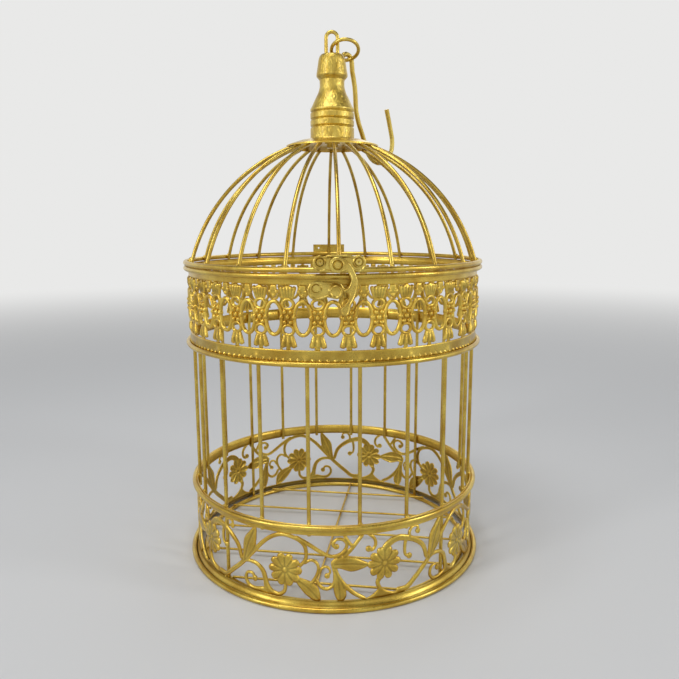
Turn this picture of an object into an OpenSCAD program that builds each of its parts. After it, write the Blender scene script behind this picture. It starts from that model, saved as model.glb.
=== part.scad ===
// Round bird-cage card box: a wire cage with two pierced sheet bands, a hinged
// domed lid, a swing latch at the front and a hook for hanging.
// Front is -Y. The origin is on the ground at the cage's centre.

/* [Cage] */
// Diameter of the rim wires, at their centre line
ring_d = 200; // [180:1:230]
// Thickness of the rim wires
ring_wire = 3.2; // [2.6:0.1:4]
// Thickness of the bars and dome wires
bar_wire = 2.4; // [1.8:0.1:3]
// Number of bars, and of dome wires
bar_count = 20; // [16:4:24]
// Height of the cage body, to the top of its rim wire
body_h = 202.2; // [185:1:240]
// Turn of the body's pattern and bars about the upright axis
body_turn = -2; // [-4:0.5:4]

/* [Lower band] */
// Height of the upper edge of the lower band
low_band_h = 53.9; // [50:1:70]
// Height of the plain rim along the top of the lower band
low_rim = 6.6; // [5:0.1:9]
// Height of the flared foot below the vine pattern
flare_h = 5.4; // [4:0.1:8]
// How far the foot wire stands out beyond the rim wires
flare_out = 2.3; // [1:0.1:4]
// Thickness of the sheet of both bands
sheet = 0.8; // [0.6:0.1:1.2]
// Repeats of the two-flower vine pattern round the band
vine_repeats = 5; // [4:1:6]
// Diameter of a flower
flower_d = 21; // [16:0.5:24]

/* [Upper band] */
// Height of the upper band's sheet
up_band_h = 49.7; // [44:0.5:56]
// Height of the plain rim along the bottom of the upper band
up_low_rim = 8.7; // [6:0.1:10]
// Height of the plain rim along the top of the upper band
up_top_rim = 5; // [4:0.1:8]
// Number of filigree motifs round the band
motif_count = 36; // [30:1:40]

/* [Floor] */
// Number of floor wires
floor_count = 5; // [3:2:7]
// Spacing of the floor wires
floor_pitch = 36; // [26:1:38]
// Thickness of the floor wires
floor_wire = 1.6; // [1.2:0.1:2.4]
// Turn of the floor wires about the upright axis
floor_turn = -11; // [-30:1:30]

/* [Dome] */
// Radius of the bend of each dome wire
dome_bend_r = 111; // [105:1:125]
// Height of the lid's rim above the centres of the dome wires' bends
dome_drop = 29.1; // [20:0.1:36]
// Radius of the circle that the dome wires' tops reach
dome_top_r = 27; // [24:1:32]
// Radius of the crown cap
cap_r = 31; // [30:0.5:38]
// Thickness of the crown cap
cap_sheet = 1; // [0.6:0.1:1.4]

/* [Finial] */
// Diameter of the finial's foot
finial_d = 30.4; // [26:0.1:34]
// Height of the finial
finial_h = 55.2; // [50:0.1:62]
// Diameter of the finial's neck
neck_d = 16.4; // [14:0.1:19]
// Diameter of the lower edge of the cup on top of the finial
cup_d = 20.8; // [19:0.1:22]
// Diameter of the screw that holds the finial
screw_d = 4; // [3:0.5:5]

/* [Latch] */
// Width of the latch plate on the lid
latch_w = 29.4; // [26:0.2:34]
// Height of the latch plate
latch_h = 9.7; // [9:0.1:11]
// Thickness of the latch and hinge plates
plate_t = 1; // [0.8:0.1:1.3]
// Thickness of the swing hook
hook_t = 1.6; // [1.2:0.1:2.2]
// Diameter of the pivot rivet's shank
pivot_d = 3; // [2.4:0.1:3.6]
// Diameter of the keeper knob
knob_d = 7.2; // [6:0.1:8]
// Diameter of the keeper knob's stem
stem_d = 3.2; // [2.4:0.1:3.4]
// Radial play of the swing hook on its rivet
pivot_play = 0.05; // [0.02:0.01:0.1]

/* [Hinge] */
// Width of the hinge
hinge_w = 26; // [22:0.5:34]
// Diameter of the hinge pin
pin_d = 1.8; // [1.4:0.1:2]
// Outer diameter of the hinge knuckles
knuckle_d = 4; // [3.6:0.1:4.4]
// Radial play of the lid's knuckle on the pin
pin_play = 0.05; // [0.02:0.01:0.1]

/* [Hanger] */
// Distance between the centre lines of the eye loop's legs
loop_w = 7.6; // [7:0.1:9]
// Height of the eye loop above the finial
loop_h = 15.4; // [12:0.1:17]
// Thickness of the eye loop's and the ring's wire
loop_wire = 2.4; // [2:0.1:2.6]
// Diameter of the hanging ring at its centre line
hang_ring_d = 18; // [17:0.5:20]
// Thickness of the hanging hook's wire
hook_wire = 3.3; // [2.8:0.1:3.6]
// Bend radius of the hanging hook
hook_bend_r = 14.4; // [12:0.2:16]

/* [Fits] */
// Gap between the closed lid and the body
seat_gap = 0.3; // [0.2:0.05:0.6]
// Gap beside pieces that move past each other
side_gap = 0.3; // [0.2:0.05:0.6]

/* [Hidden] */
$fn = 48;
ring_r = ring_d / 2;
wire_r = ring_wire / 2;
bar_r = bar_wire / 2;
sheet_r = ring_r - wire_r;            // outer face of both bands
sheet_in = sheet_r - sheet;           // inner face of both bands
bar_circle = sheet_in - bar_r;        // circle of the bars' centre lines
bar_step = 360 / bar_count;
rim_z = body_h - wire_r;              // body rim wire
mid_z = body_h - up_band_h - wire_r;  // wire round the upper band's foot
up_z0 = mid_z - wire_r / 2;           // lower edge of the upper band
up_z1 = rim_z;                        // upper edge of the upper band
low_ring_z = low_band_h - 1.4;        // wire round the lower band's top
foot_r = ring_r + flare_out;
lid_z = body_h + seat_gap + wire_r;   // lid rim wire
vine_z0 = flare_h;
vine_z1 = low_band_h - low_rim;
vine_unit = 360 / vine_repeats;
panel_angle = vine_unit / 2;
vine_turn = body_turn - 17.7;         // azimuth of a low flower
vine_w = sheet_r * vine_unit * PI / 180;
drawn_w = 123.65;                     // width, lower edge and height of the vine as drawn
drawn_z0 = 5.4;
drawn_h = 41.9;
seam = 0.05;                          // slit between neighbouring panels
floor_ring_r = bar_circle - bar_r - wire_r;
floor_z = 2 * wire_r + floor_wire / 2;
floor_shift = -4;                     // offset of the middle floor wire
long_bars = [45, 135, 225, 315];      // azimuths near which a bar reaches the floor
bar_overlap = 1;                      // how far bars pass a rim's inner edge
weld_gap = 0.08;                      // slit between the dome wires and the lid's rim

bend_z = lid_z - dome_drop;           // height of the bend centres
dome_foot_r = ring_r - wire_r - bar_r - weld_gap;
// Distance of each bend's centre beyond the cage's axis.
dome_bend_off = sqrt(pow(dome_bend_r, 2) - pow(dome_drop, 2)) - dome_foot_r;
foot_a = asin((lid_z - wire_r - bend_z) / dome_bend_r);
top_a = acos((dome_top_r + dome_bend_off) / dome_bend_r);
cap_gap = 0.15;                       // play between cap and dome wires
cap_flat_r = 22;
cap_bend_r = dome_bend_r + bar_r + cap_gap;
function cap_z(r) = bend_z + sqrt(pow(cap_bend_r, 2) - pow(r + dome_bend_off, 2));
cap_z0 = cap_z(cap_flat_r);           // underside of the cap's flat middle
finial_z = cap_z0 + cap_sheet;
finial_top = finial_z + finial_h;
finial_r = finial_d / 2;
neck_r = neck_d / 2;
cup_r = cup_d / 2;
cup_h = 14.2;
groove_zs = [9, 13.8, 18.6];          // grooves above the finial's foot
groove_r = 0.9;
screw_r = screw_d / 2;
screw_len = 22;
washer_t = 1;

plate_y = ring_r + wire_r;            // back face of the lid's latch plate
eyelet_t = 0.5;                       // thickness of an eyelet's collar
hook_y0 = plate_y + plate_t + eyelet_t + side_gap;
head_y = hook_y0 + hook_t + side_gap;
head_t = 1.3;
plate_x = -0.1;                       // middle of the lid's latch plate
plate_z = lid_z + 3.55;
pivot_x = -1.1;
pivot_z = lid_z + 3.05;
pivot_r = pivot_d / 2;
eyelet_x = latch_w / 2 - 4.1;         // eyelets, from the middle of the plate
eyelet_z = plate_z + 1;
stud_x = pivot_x - 1;
stud_z = pivot_z - 14.3;
keeper_y = sheet_r + 0.3;             // back face of the keeper plate
keeper_rivet_x = stud_x - 10.8;
keeper_rivet_z = stud_z + 1.2;

pin_y = plate_y + knuckle_d / 2;
pin_z = (rim_z + lid_z) / 2;
leaf_t = 0.8;
knuckle_w = (hinge_w - 2 * side_gap) / 3;
lid_leaf_h = 9;
body_leaf_h = 9;
leaf_hole_x = hinge_w / 2 - 4.5;
lid_eyelet_z = pin_z + 6.4;
body_rivet_z = rim_z - wire_r - 1.9;
rivet_r = 1.2;
eyelet_r = 1.9;

loop_r = loop_w / 2;
loop_wire_r = loop_wire / 2;
loop_top = finial_top + loop_h;
loop_arc_z = loop_top - loop_wire_r - loop_r;
loop_sunk = 12;
ring_lean = 58;                       // tilt of the ring's axis up from the horizontal
hang_ring_r = hang_ring_d / 2;
ring_c = [loop_r + 5, 3.2, finial_top + 3.8];
ring_hook_a = -80;                    // place of the hook's crook round the ring
function on_ring(a) = ring_c + hang_ring_r *
    [cos(a), -sin(ring_lean) * sin(a), cos(ring_lean) * sin(a)];
eye_c = on_ring(ring_hook_a);
hook_az = 132;
hook_dir = [sin(hook_az), -cos(hook_az), 0];
hook_wire_r = hook_wire / 2;
hook_crook_r = 3.25 + hook_wire_r;
crook_drop = 1.1;                     // the crook hangs on the ring's wire
bend_sunk = 2.4;                      // the bend sinks this far between two dome wires
// The bend's centre keeps this distance from the dome wires' bend centre.
hook_rest = dome_bend_r + bar_r + hook_wire_r + hook_bend_r - bend_sunk;
hook_reach = 33.2;                    // the bend's centre outwards of the crook's
bend_xy = [eye_c[0], eye_c[1]] + hook_reach * [hook_dir[0], hook_dir[1]];
bend_cz = bend_z + sqrt(pow(hook_rest, 2) - pow(norm(bend_xy) + dome_bend_off, 2));

gold = [0.80, 0.62, 0.22];
pale_gold = [0.86, 0.72, 0.34];

// ---- shared shapes ----

// Turns something drawn at the front (-Y) to azimuth a.
module at_azimuth(a) {
    rotate([0, 0, a]) children();
}

// Wire bent into a level ring.
module wire_ring(r, z, wr) {
    translate([0, 0, z]) rotate_extrude() translate([r, 0]) circle(r = wr);
}

// Sheet rolled into a short tube.
module band(r_in, r_out, z0, z1) {
    translate([0, 0, z0]) difference() {
        cylinder(r = r_out, h = z1 - z0);
        translate([0, 0, -1]) cylinder(r = r_in, h = z1 - z0 + 2);
    }
}

// Cylinder along -Y, from distance y0 to y1 in front of the axis.
module front_pin(r, x, z, y0, y1) {
    translate([x, -y0, z]) rotate([90, 0, 0]) cylinder(r = r, h = y1 - y0);
}

// Flat shape in the X-Z plane, from distance y0 in front of the axis, t thick.
module front_plate(y0, t) {
    translate([0, -y0, 0]) rotate([90, 0, 0]) linear_extrude(height = t) children();
}

// Catmull-Rom point between p1 and p2, at t from 0 to 1.
function spline_at(p0, p1, p2, p3, t) =
    0.5 * (2 * p1 + (p2 - p0) * t + (2 * p0 - 5 * p1 + 4 * p2 - p3) * t * t
    + (3 * p1 - p0 - 3 * p2 + p3) * t * t * t);

// Smooth open curve through the points, n steps to a span.
function curve(p, n = 3) = let (m = len(p) - 1) concat([for (i = [0:m - 1], k = [0:n - 1])
    spline_at(p[max(i - 1, 0)], p[i], p[i + 1], p[min(i + 2, m)], k / n)], [p[m]]);

// Smooth closed curve through the points.
function loop_curve(p, n = 4) = let (m = len(p)) [for (i = [0:m - 1], k = [0:n - 1])
    spline_at(p[(i + m - 1) % m], p[i], p[(i + 1) % m], p[(i + 2) % m], k / n)];

function unit(v) = v / norm(v);
function heading(p, i) = unit(p[min(i + 1, len(p) - 1)] - p[max(i - 1, 0)]);

// Outline of a stroke along p that is w0 wide at its start and w1 at its end.
function stroke(p, w0, w1) = let (m = len(p) - 1) concat(
    [for (i = [0:m]) let (h = heading(p, i)) p[i] + [-h[1], h[0]] * (w0 + (w1 - w0) * i / m) / 2],
    [for (i = [m:-1:0]) let (h = heading(p, i)) p[i] - [-h[1], h[0]] * (w0 + (w1 - w0) * i / m) / 2]);

module vine(p, w0, w1) {
    polygon(stroke(curve(p), w0, w1));
}

// Vine that ends in a round bud.
module bud_vine(p, w0, w1, bud) {
    vine(p, w0, w1);
    translate(p[len(p) - 1]) circle(r = bud, $fn = 10);
}

module leaf(p) {
    polygon(loop_curve(p, 2));
}

// ---- lower band ----

// Flower with ten round petals.
module flower(c, d) {
    petals = 10;
    translate(c) polygon([for (i = [0:39]) let (a = 9 * i)
        d / 2 * (0.87 + 0.13 * cos(petals * a)) * [cos(a), sin(a)]]);
}

// One repeat of the vine, laid flat: x runs round the band, y is the height.
module vine_pattern() {
    flower([48.9, 24], flower_d);
    flower([109.9, 27.7], flower_d);
    // main stem, rising from one flower's root and arching over the next flower
    vine([[-4, 8], [2, 8.2], [7.8, 12.7], [15.5, 19.3], [21.1, 24.9], [27.8, 32.1],
        [34.4, 39.3], [41.1, 44.3], [47.8, 46.4], [55.5, 44.9], [60.5, 41.6],
        [62.2, 36.6], [61.6, 31.6], [58.5, 27.5]], 3, 2);
    leaf([[18.5, 22], [19, 31], [20, 38.2], [24, 43.5], [29.2, 48], [28.6, 36], [25, 29]]);
    // branch to the flower on the left, with its two curls
    vine([[17, 24.5], [14.2, 32.4], [7.8, 38], [1.1, 41], [-5.6, 42], [-11.1, 39.3],
        [-15, 34]], 2.6, 4.6);
    bud_vine([[1, 41], [0, 35], [0.6, 30], [3.4, 28.6]], 2, 1.4, 1.9);
    bud_vine([[3.9, 40.4], [3.4, 44.3], [6, 47.4], [9.6, 46.4], [9.6, 43.4]], 1.8, 1.2, 1.7);
    // scroll under the stem
    vine([[18.9, 22.7], [23.3, 24.2], [28.9, 23.6], [33.3, 20.4], [35.3, 14.9],
        [36, 10]], 1.8, 3.4);
    bud_vine([[33, 8], [27.8, 6.8], [23, 7.6], [20.4, 11.4], [21.6, 15.6], [25.5, 16.4],
        [27.5, 13.4]], 2.4, 1.4, 1.9);
    vine([[35.6, 13], [37.6, 9.6], [41, 7.2], [45, 7], [48.4, 10], [48.9, 15]], 3, 2);
    // root under the first flower
    polygon([[25, 4.6], [31, 7.6], [36, 9.4], [41, 6.6], [50, 4.6]]);
    // leaf on the right of the first flower, and the shoot above it
    leaf([[54, 20], [60, 19], [66, 17], [69.8, 13], [70.4, 4.8], [64.4, 7], [59, 12]]);
    vine([[65.5, 17], [68.3, 21.6], [69.6, 26.6], [68.3, 30.2], [65, 31.6], [61.5, 29.5]], 2, 1.6);
    vine([[68.6, 18.4], [71, 14.6], [74.6, 13.4], [78, 15.6], [80, 20]], 1.8, 2.2);
    bud_vine([[70, 24], [72.2, 27.2], [75.2, 27.4], [76.6, 24.4], [74.8, 21.8]], 1.6, 1.2, 1.7);
    // long branch to the second flower's leaf
    vine([[56.6, 45.2], [63.3, 41.8], [70, 37.6], [75.5, 34.8], [79.3, 34.4], [83, 35.8],
        [86, 39], [86.4, 42.7], [83.7, 45.2], [80.4, 45], [78.4, 42.6]], 2.4, 1.6);
    bud_vine([[80.4, 45], [78.2, 43.2], [78.6, 40.8], [80.4, 40.6]], 1.6, 1.4, 1.7);
    vine([[85, 34], [90.4, 40], [96.4, 48]], 2.4, 2);
    vine([[84.9, 48], [88, 43], [90.4, 40]], 2, 2);
    leaf([[78, 32], [84, 34.4], [90, 33.8], [96, 31], [100.4, 28], [95, 25.4], [89, 24.4],
        [82.6, 26.6], [78.4, 27]]);
    bud_vine([[99.5, 48], [103.4, 44.3], [104.2, 40], [102, 37], [99.9, 38]], 2, 1.6, 1.8);
    // arm and root tuft between the leaf and the second flower's root
    vine([[78.6, 30], [80, 24], [83.7, 17.6], [90.4, 10.6], [97, 6.4]], 3.2, 2.2);
    leaf([[79, 26], [78.4, 16], [79.4, 9], [82.6, 4.4], [86.4, 9], [84.4, 16]]);
    // second flower's stem and root
    vine([[107.4, 19], [105.6, 15.4], [107.4, 11]], 2.8, 2.4);
    polygon([[94, 4.6], [101, 7], [105, 10], [107.2, 13], [110, 10.2], [116, 7.4], [121, 7.6],
        [127, 4.6]]);
}

// Half a repeat of the vine, bent round the band: x0 is its middle on the flat pattern.
module vine_panel(x0) {
    reach = sheet_in * sin(panel_angle / 2) - seam;
    intersection() {
        difference() {
            cylinder(r = sheet_r, h = vine_z1);
            translate([0, 0, -1]) cylinder(r = sheet_in, h = vine_z1 + 2);
        }
        front_plate(sheet_r - 12, 20) offset(delta = 0.01) intersection() {
            translate([-reach, vine_z0 + 0.02]) square([2 * reach, vine_z1 - vine_z0 - 0.04]);
            for (k = [-1:1]) translate([k * vine_w - x0, vine_z0])
                scale([vine_w / drawn_w, (vine_z1 - vine_z0) / drawn_h])
                    translate([0, -drawn_z0]) vine_pattern();
        }
    }
}

// Plain top rim and flared foot of the lower band's sheet.
module lower_band_rims() color(gold) {
    band(sheet_in, sheet_r, vine_z1, low_band_h);
    foot_in = foot_r - wire_r;
    rise = flare_h - wire_r;
    run = foot_in - sheet_r;
    curl = [for (i = [0:6]) let (t = i / 6) [sheet_r + run * pow(t, 2.4), flare_h - rise * t]];
    rotate_extrude() polygon(concat(curl,
        [for (i = [6:-1:0]) curl[i] - [sheet, 0]]));
}

module lower_band_vines() color(gold) {
    flower_x = 48.9 * vine_w / drawn_w;
    for (i = [0:vine_repeats - 1], side = [0, 1])
        at_azimuth(vine_turn + vine_unit * i + panel_angle * side)
            vine_panel(flower_x + side * vine_w / 2);
}

module lower_band_ring() color(pale_gold) wire_ring(ring_r, low_ring_z, wire_r);

module foot_ring() color(pale_gold) wire_ring(foot_r, wire_r, wire_r);

// ---- floor ----

module floor_ring() color(gold) wire_ring(floor_ring_r, wire_r, wire_r);

module floor_wires() color(gold) rotate([0, 0, floor_turn])
    for (i = [0:floor_count - 1]) {
        off = floor_shift + (i - (floor_count - 1) / 2) * floor_pitch;
        half = sqrt(pow(floor_ring_r, 2) - off * off);
        translate([-half, off, floor_z]) rotate([0, 90, 0])
            cylinder(r = floor_wire / 2, h = 2 * half);
    }

module floor_cross_wire() color(gold) {
    half = floor_ring_r - wire_r;
    rotate([0, 0, floor_turn]) translate([0, half, floor_z - floor_wire])
        rotate([90, 0, 0]) cylinder(r = floor_wire / 2, h = 2 * half);
}

// ---- bars ----

function is_long(a) = len([for (l = long_bars) if (abs(a - l) <= bar_step / 2 - 0.01) a]) > 0;

// Upright bars inside the two bands, the long ones or the short ones.
module bars(want_long) {
    z0 = want_long ? 0 : vine_z1 - bar_overlap;
    z1 = up_z0 + up_low_rim - bar_overlap;
    for (i = [0:bar_count - 1]) {
        a = bar_step * (i + 0.5);
        if (is_long(a) == want_long)
            at_azimuth(a + body_turn) translate([0, -bar_circle, z0])
                cylinder(r = bar_r, h = z1 - z0);
    }
}

module short_bars() color(pale_gold) bars(false);
module long_bars() color(pale_gold) bars(true);

// ---- upper band ----

module mid_ring() color(pale_gold) wire_ring(ring_r, mid_z, wire_r);
module body_rim_ring() color(pale_gold) wire_ring(ring_r, rim_z, wire_r);

module upper_band_rims() color(gold) {
    band(sheet_in, sheet_r, up_z0, up_z0 + up_low_rim);
    difference() {
        band(sheet_in, sheet_r, up_z1 - up_top_rim, up_z1);
        mirror([0, 1, 0]) for (s = [-1, 1])
            front_pin(rivet_r, s * leaf_hole_x, body_rivet_z, sheet_in - 1, sheet_r + 1);
    }
}

// One filigree motif, laid flat: its middle is the palmette's axis.
module motif(w, h) {
    link_z = h * 0.508;
    link_w = w * 0.714;
    link_h = h * 0.576;
    link_drop = 0.6;
    wall = 2.2;
    stem = h;
    offset(delta = 0.01) intersection() {
        translate([-w / 2 + seam, 0]) square([w - 2 * seam, h]);
        translate([0, link_z]) {
            // halves of the oval links on both sides
            for (s = [-1, 1]) translate([s * w / 2, -link_drop]) difference() {
                scale([link_w, link_h]) circle(d = 1, $fn = 20);
                scale([link_w - 2 * wall, link_h - 2 * wall]) circle(d = 1, $fn = 16);
            }
            // rosette of round petals between the links
            for (a = [0:60:300]) rotate(a) translate([2.4, 0]) circle(r = 1.75, $fn = 8);
            circle(r = 2, $fn = 6);
            // small eyes, palmettes and stems, below and above
            for (s = [-1, 1]) scale([1, s]) {
                translate([0, 7.3]) difference() {
                    circle(r = 4.15, $fn = 16);
                    circle(r = 2.2, $fn = 12);
                }
                leaf([[-3.2, 10.4], [-4.1, 13.4], [-5, 16.2], [-3.5, 17.6], [-1.3, 17.9],
                    [-1.2, stem], [1.2, stem], [1.3, 17.9], [3.5, 17.6], [5, 16.2],
                    [4.1, 13.4], [3.2, 10.4]]);
            }
        }
    }
}

module upper_band_filigree() color(gold) {
    z0 = up_z0 + up_low_rim;
    z1 = up_z1 - up_top_rim;
    w = 2 * sheet_in * tan(180 / motif_count);
    for (i = [0:motif_count - 1])
        at_azimuth(body_turn + (i + 0.5) * 360 / motif_count)
            translate([0, 0, z0]) front_plate(sheet_in, sheet) motif(w, z1 - z0);
}

// ---- latch keeper on the body ----

module keeper_plate() color(gold) difference() {
    front_plate(keeper_y, plate_t) translate([stud_x, stud_z])
        polygon(loop_curve([[4.6, 0], [3.5, 3.6], [0.5, 5], [-3, 4.9], [-7, 5.2], [-11, 5.3],
            [-14.4, 3.6], [-15.8, 0], [-14.6, -3.6], [-11.6, -5.3], [-7.6, -5], [-4.6, -4],
            [-2, -4.4], [0.6, -4.9], [3.4, -3.7]]));
    front_pin(stem_d / 2, stud_x, stud_z, keeper_y - 1, keeper_y + plate_t + 1);
    front_pin(rivet_r, keeper_rivet_x, keeper_rivet_z, keeper_y - 1, keeper_y + plate_t + 1);
}

module keeper_stud() color(pale_gold) {
    front_pin(stem_d / 2, stud_x, stud_z, keeper_y - 0.03, head_y + 0.01);
    translate([stud_x, -head_y, stud_z]) rotate([90, 0, 0]) rotate_extrude()
        polygon([[0, 0], [knob_d / 2 - 0.5, 0], [knob_d / 2, 0.5], [knob_d / 2, 1],
            [knob_d / 2 - 0.9, 1.8], [knob_d / 4, 2.2], [0, 2.2]]);
}

module keeper_rivet() color(pale_gold) {
    face = keeper_y + plate_t;
    front_pin(rivet_r, keeper_rivet_x, keeper_rivet_z, keeper_y - 0.03, face + 0.01);
    front_pin(rivet_r + 0.8, keeper_rivet_x, keeper_rivet_z, face, face + 0.8);
}

// ---- hinge ----

// Knuckle tube from x0 to x1, round the hinge pin.
module knuckle(x0, x1, bore_r) {
    translate([x0, pin_y, pin_z]) rotate([0, 90, 0]) difference() {
        cylinder(d = knuckle_d, h = x1 - x0);
        translate([0, 0, -1]) cylinder(r = bore_r, h = x1 - x0 + 2);
    }
}

module pin_space(x0, x1) {
    translate([x0, pin_y, pin_z]) rotate([0, 90, 0]) cylinder(r = knuckle_d / 2 - 0.4, h = x1 - x0);
}

module hinge_body_leaf() color(gold) {
    half = hinge_w / 2;
    inner = knuckle_w / 2 + side_gap;
    for (s = [-1, 1]) knuckle(s > 0 ? inner : -half, s > 0 ? half : -inner, pin_d / 2);
    difference() {
        union() {
            translate([-half, plate_y, pin_z - knuckle_d / 2 - body_leaf_h])
                cube([hinge_w, leaf_t, body_leaf_h - side_gap]);
            for (s = [-1, 1]) translate([s > 0 ? inner : -half, plate_y, pin_z - knuckle_d / 2 - 1])
                cube([half - inner, leaf_t, knuckle_d / 2 + 1]);
        }
        for (s = [-1, 1]) mirror([0, 1, 0])
            front_pin(rivet_r, s * leaf_hole_x, body_rivet_z, plate_y - 1, plate_y + leaf_t + 1);
        pin_space(-half - 1, half + 1);
    }
}

module hinge_pin() color(pale_gold) {
    half = hinge_w / 2;
    translate([-half - 0.8, pin_y, pin_z]) rotate([0, 90, 0]) {
        cylinder(d = pin_d, h = hinge_w + 1.6);
        cylinder(d = knuckle_d - 0.8, h = 0.8);
        translate([0, 0, hinge_w + 0.8]) cylinder(d = knuckle_d - 0.8, h = 0.8);
    }
}

module hinge_body_rivets() color(pale_gold) mirror([0, 1, 0]) for (s = [-1, 1]) {
    front_pin(rivet_r, s * leaf_hole_x, body_rivet_z, sheet_in - 1.2, plate_y + leaf_t + 0.01);
    front_pin(rivet_r + 0.8, s * leaf_hole_x, body_rivet_z, plate_y + leaf_t, plate_y + leaf_t + 0.8);
}

module hinge_lid_leaf() color(gold) {
    half = knuckle_w / 2;
    knuckle(-half, half, pin_d / 2 + pin_play);
    difference() {
        union() {
            translate([-hinge_w / 2, plate_y, pin_z + knuckle_d / 2 + side_gap])
                cube([hinge_w, leaf_t, lid_leaf_h - knuckle_d / 2]);
            translate([-half, plate_y, pin_z]) cube([knuckle_w, leaf_t, knuckle_d / 2 + 1]);
        }
        for (s = [-1, 1]) mirror([0, 1, 0])
            front_pin(rivet_r, s * leaf_hole_x, lid_eyelet_z, plate_y - 1, plate_y + leaf_t + 1);
        pin_space(-half - 1, half + 1);
    }
}

// Hollow rivet through a plate of thickness t whose back is at distance y.
module eyelet(x, z, y, t) {
    difference() {
        union() {
            front_pin(rivet_r, x, z, y - eyelet_t, y + t + 0.01);
            front_pin(eyelet_r, x, z, y + t, y + t + eyelet_t);
            front_pin(eyelet_r, x, z, y - eyelet_t, y);
        }
        front_pin(rivet_r - 0.5, x, z, y - 2, y + t + 2);
    }
}

module hinge_lid_eyelets() color(pale_gold) mirror([0, 1, 0]) for (s = [-1, 1])
    eyelet(s * leaf_hole_x, lid_eyelet_z, plate_y, leaf_t);

// ---- lid ----

module lid_rim_ring() color(pale_gold) wire_ring(ring_r, lid_z, wire_r);

module dome_wires() color(pale_gold) for (i = [0:bar_count - 1])
    at_azimuth(i * bar_step) translate([0, dome_bend_off, bend_z]) rotate([90, 0, -90])
        rotate([0, 0, foot_a]) rotate_extrude(angle = top_a - foot_a)
            translate([dome_bend_r, 0]) circle(r = bar_r);

module crown_cap() color(gold) {
    steps = 5;
    slope = [for (i = [0:steps]) let (r = cap_r + (cap_flat_r - cap_r) * i / steps) [r, cap_z(r)]];
    rotate_extrude() polygon(concat([[screw_r + 0.1, cap_z0 + cap_sheet]],
        [[cap_flat_r, cap_z0 + cap_sheet]],
        [for (i = [steps - 1:-1:0]) slope[i] + [0, cap_sheet]],
        slope, [[screw_r + 0.1, cap_z0]]));
}

// Half profile of the finial above its foot, as [radius, height].
function finial_profile() = let (k = finial_h / 55.2, r = finial_r, n = neck_r, h = finial_h)
    concat(
        [[r, 0.8], [r - 0.5, 1.5]],
        [for (g = groove_zs) for (d = [-1, 0, 1]) [r - (d == 0 ? 1.3 : 0.6), g * k + d * groove_r]],
        curve([[r - 0.6, 20.4 * k], [r - 1.9, 22.8 * k], [r - 3.1, 25.4 * k], [n + 2.3, 28.6 * k],
            [n + 1, 31.2 * k], [n + 0.1, 34.6 * k], [n, 37 * k], [n + 0.1, 39 * k]], 2),
        [[cup_r - 0.3, h - cup_h], [cup_r, h - cup_h + 0.7]],
        curve([[cup_r - 0.1, h - cup_h + 2], [cup_r - 0.7, h - 8.8], [cup_r - 1.4, h - 3.9],
            [cup_r - 2.1, h - 1.6], [cup_r - 3, h - 0.4], [cup_r - 4, h]], 2));

module finial() color(gold) difference() {
    translate([0, 0, finial_z]) rotate_extrude()
        polygon(concat([[0, 0], [finial_r, 0]], finial_profile(), [[0, finial_h]]));
    for (s = [-1, 1]) translate([s * loop_r, 0, finial_top - loop_sunk])
        cylinder(r = loop_wire_r, h = loop_sunk + 1);
    translate([0, 0, finial_z - 1]) cylinder(r = screw_r, h = screw_len + 1);
}

module eye_loop() color(pale_gold) {
    for (s = [-1, 1]) translate([s * loop_r, 0, finial_top - loop_sunk])
        cylinder(r = loop_wire_r, h = loop_arc_z - finial_top + loop_sunk);
    translate([0, 0, loop_arc_z]) rotate([90, 0, 0]) rotate_extrude(angle = 180)
        translate([loop_r, 0]) circle(r = loop_wire_r);
}

module screw_washer() color(pale_gold) translate([0, 0, cap_z0 - washer_t]) difference() {
    cylinder(r = 2.6 * screw_r, h = washer_t);
    translate([0, 0, -1]) cylinder(r = screw_r + 0.1, h = washer_t + 2);
}

module finial_screw() color(pale_gold) translate([0, 0, cap_z0 - washer_t]) {
    cylinder(r = screw_r, h = washer_t + cap_sheet + screw_len - 1);
    translate([0, 0, -2.4]) difference() {
        cylinder(r = 1.9 * screw_r, h = 2.4);
        translate([-screw_r * 2, -0.4, -1]) cube([screw_r * 4, 0.8, 2]);
    }
}

// ---- latch on the lid ----

module latch_plate() color(gold) difference() {
    hw = latch_w / 2;
    hh = latch_h / 2;
    front_plate(plate_y, plate_t) translate([plate_x, plate_z])
        polygon(loop_curve([[-hw, 0], [-hw + 0.8, 3], [-hw + 3.6, hh - 0.1], [-hw + 6.6, hh - 0.7],
            [-hw + 9.4, hh], [0, hh], [hw - 9.4, hh], [hw - 6.6, hh - 0.7], [hw - 3.6, hh - 0.1],
            [hw - 0.8, 3], [hw, 0], [hw - 0.8, -3], [hw - 3.6, -hh + 0.1], [hw - 6.6, -hh + 0.7],
            [hw - 9.4, -hh], [0, -hh], [-hw + 9.4, -hh], [-hw + 6.6, -hh + 0.7],
            [-hw + 3.6, -hh + 0.1], [-hw + 0.8, -3]]));
    front_pin(pivot_r, pivot_x, pivot_z, plate_y - 1, plate_y + plate_t + 1);
    for (s = [-1, 1])
        front_pin(rivet_r, plate_x + s * eyelet_x, eyelet_z, plate_y - 1, plate_y + plate_t + 1);
}

module latch_eyelets() color(pale_gold) for (s = [-1, 1])
    eyelet(plate_x + s * eyelet_x, eyelet_z, plate_y, plate_t);

module latch_pivot() color(pale_gold) {
    front_pin(pivot_r, pivot_x, pivot_z, plate_y - eyelet_t, head_y + 0.01);
    front_pin(pivot_r + 0.4, pivot_x, pivot_z, plate_y - eyelet_t, plate_y);
    front_pin(pivot_r + 1.2, pivot_x, pivot_z, plate_y + plate_t, hook_y0 - side_gap);
    translate([pivot_x, -head_y, pivot_z]) rotate([90, 0, 0]) cylinder(r1 = pivot_r + 0.9,
        r2 = pivot_r + 0.2, h = head_t);
}

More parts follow.
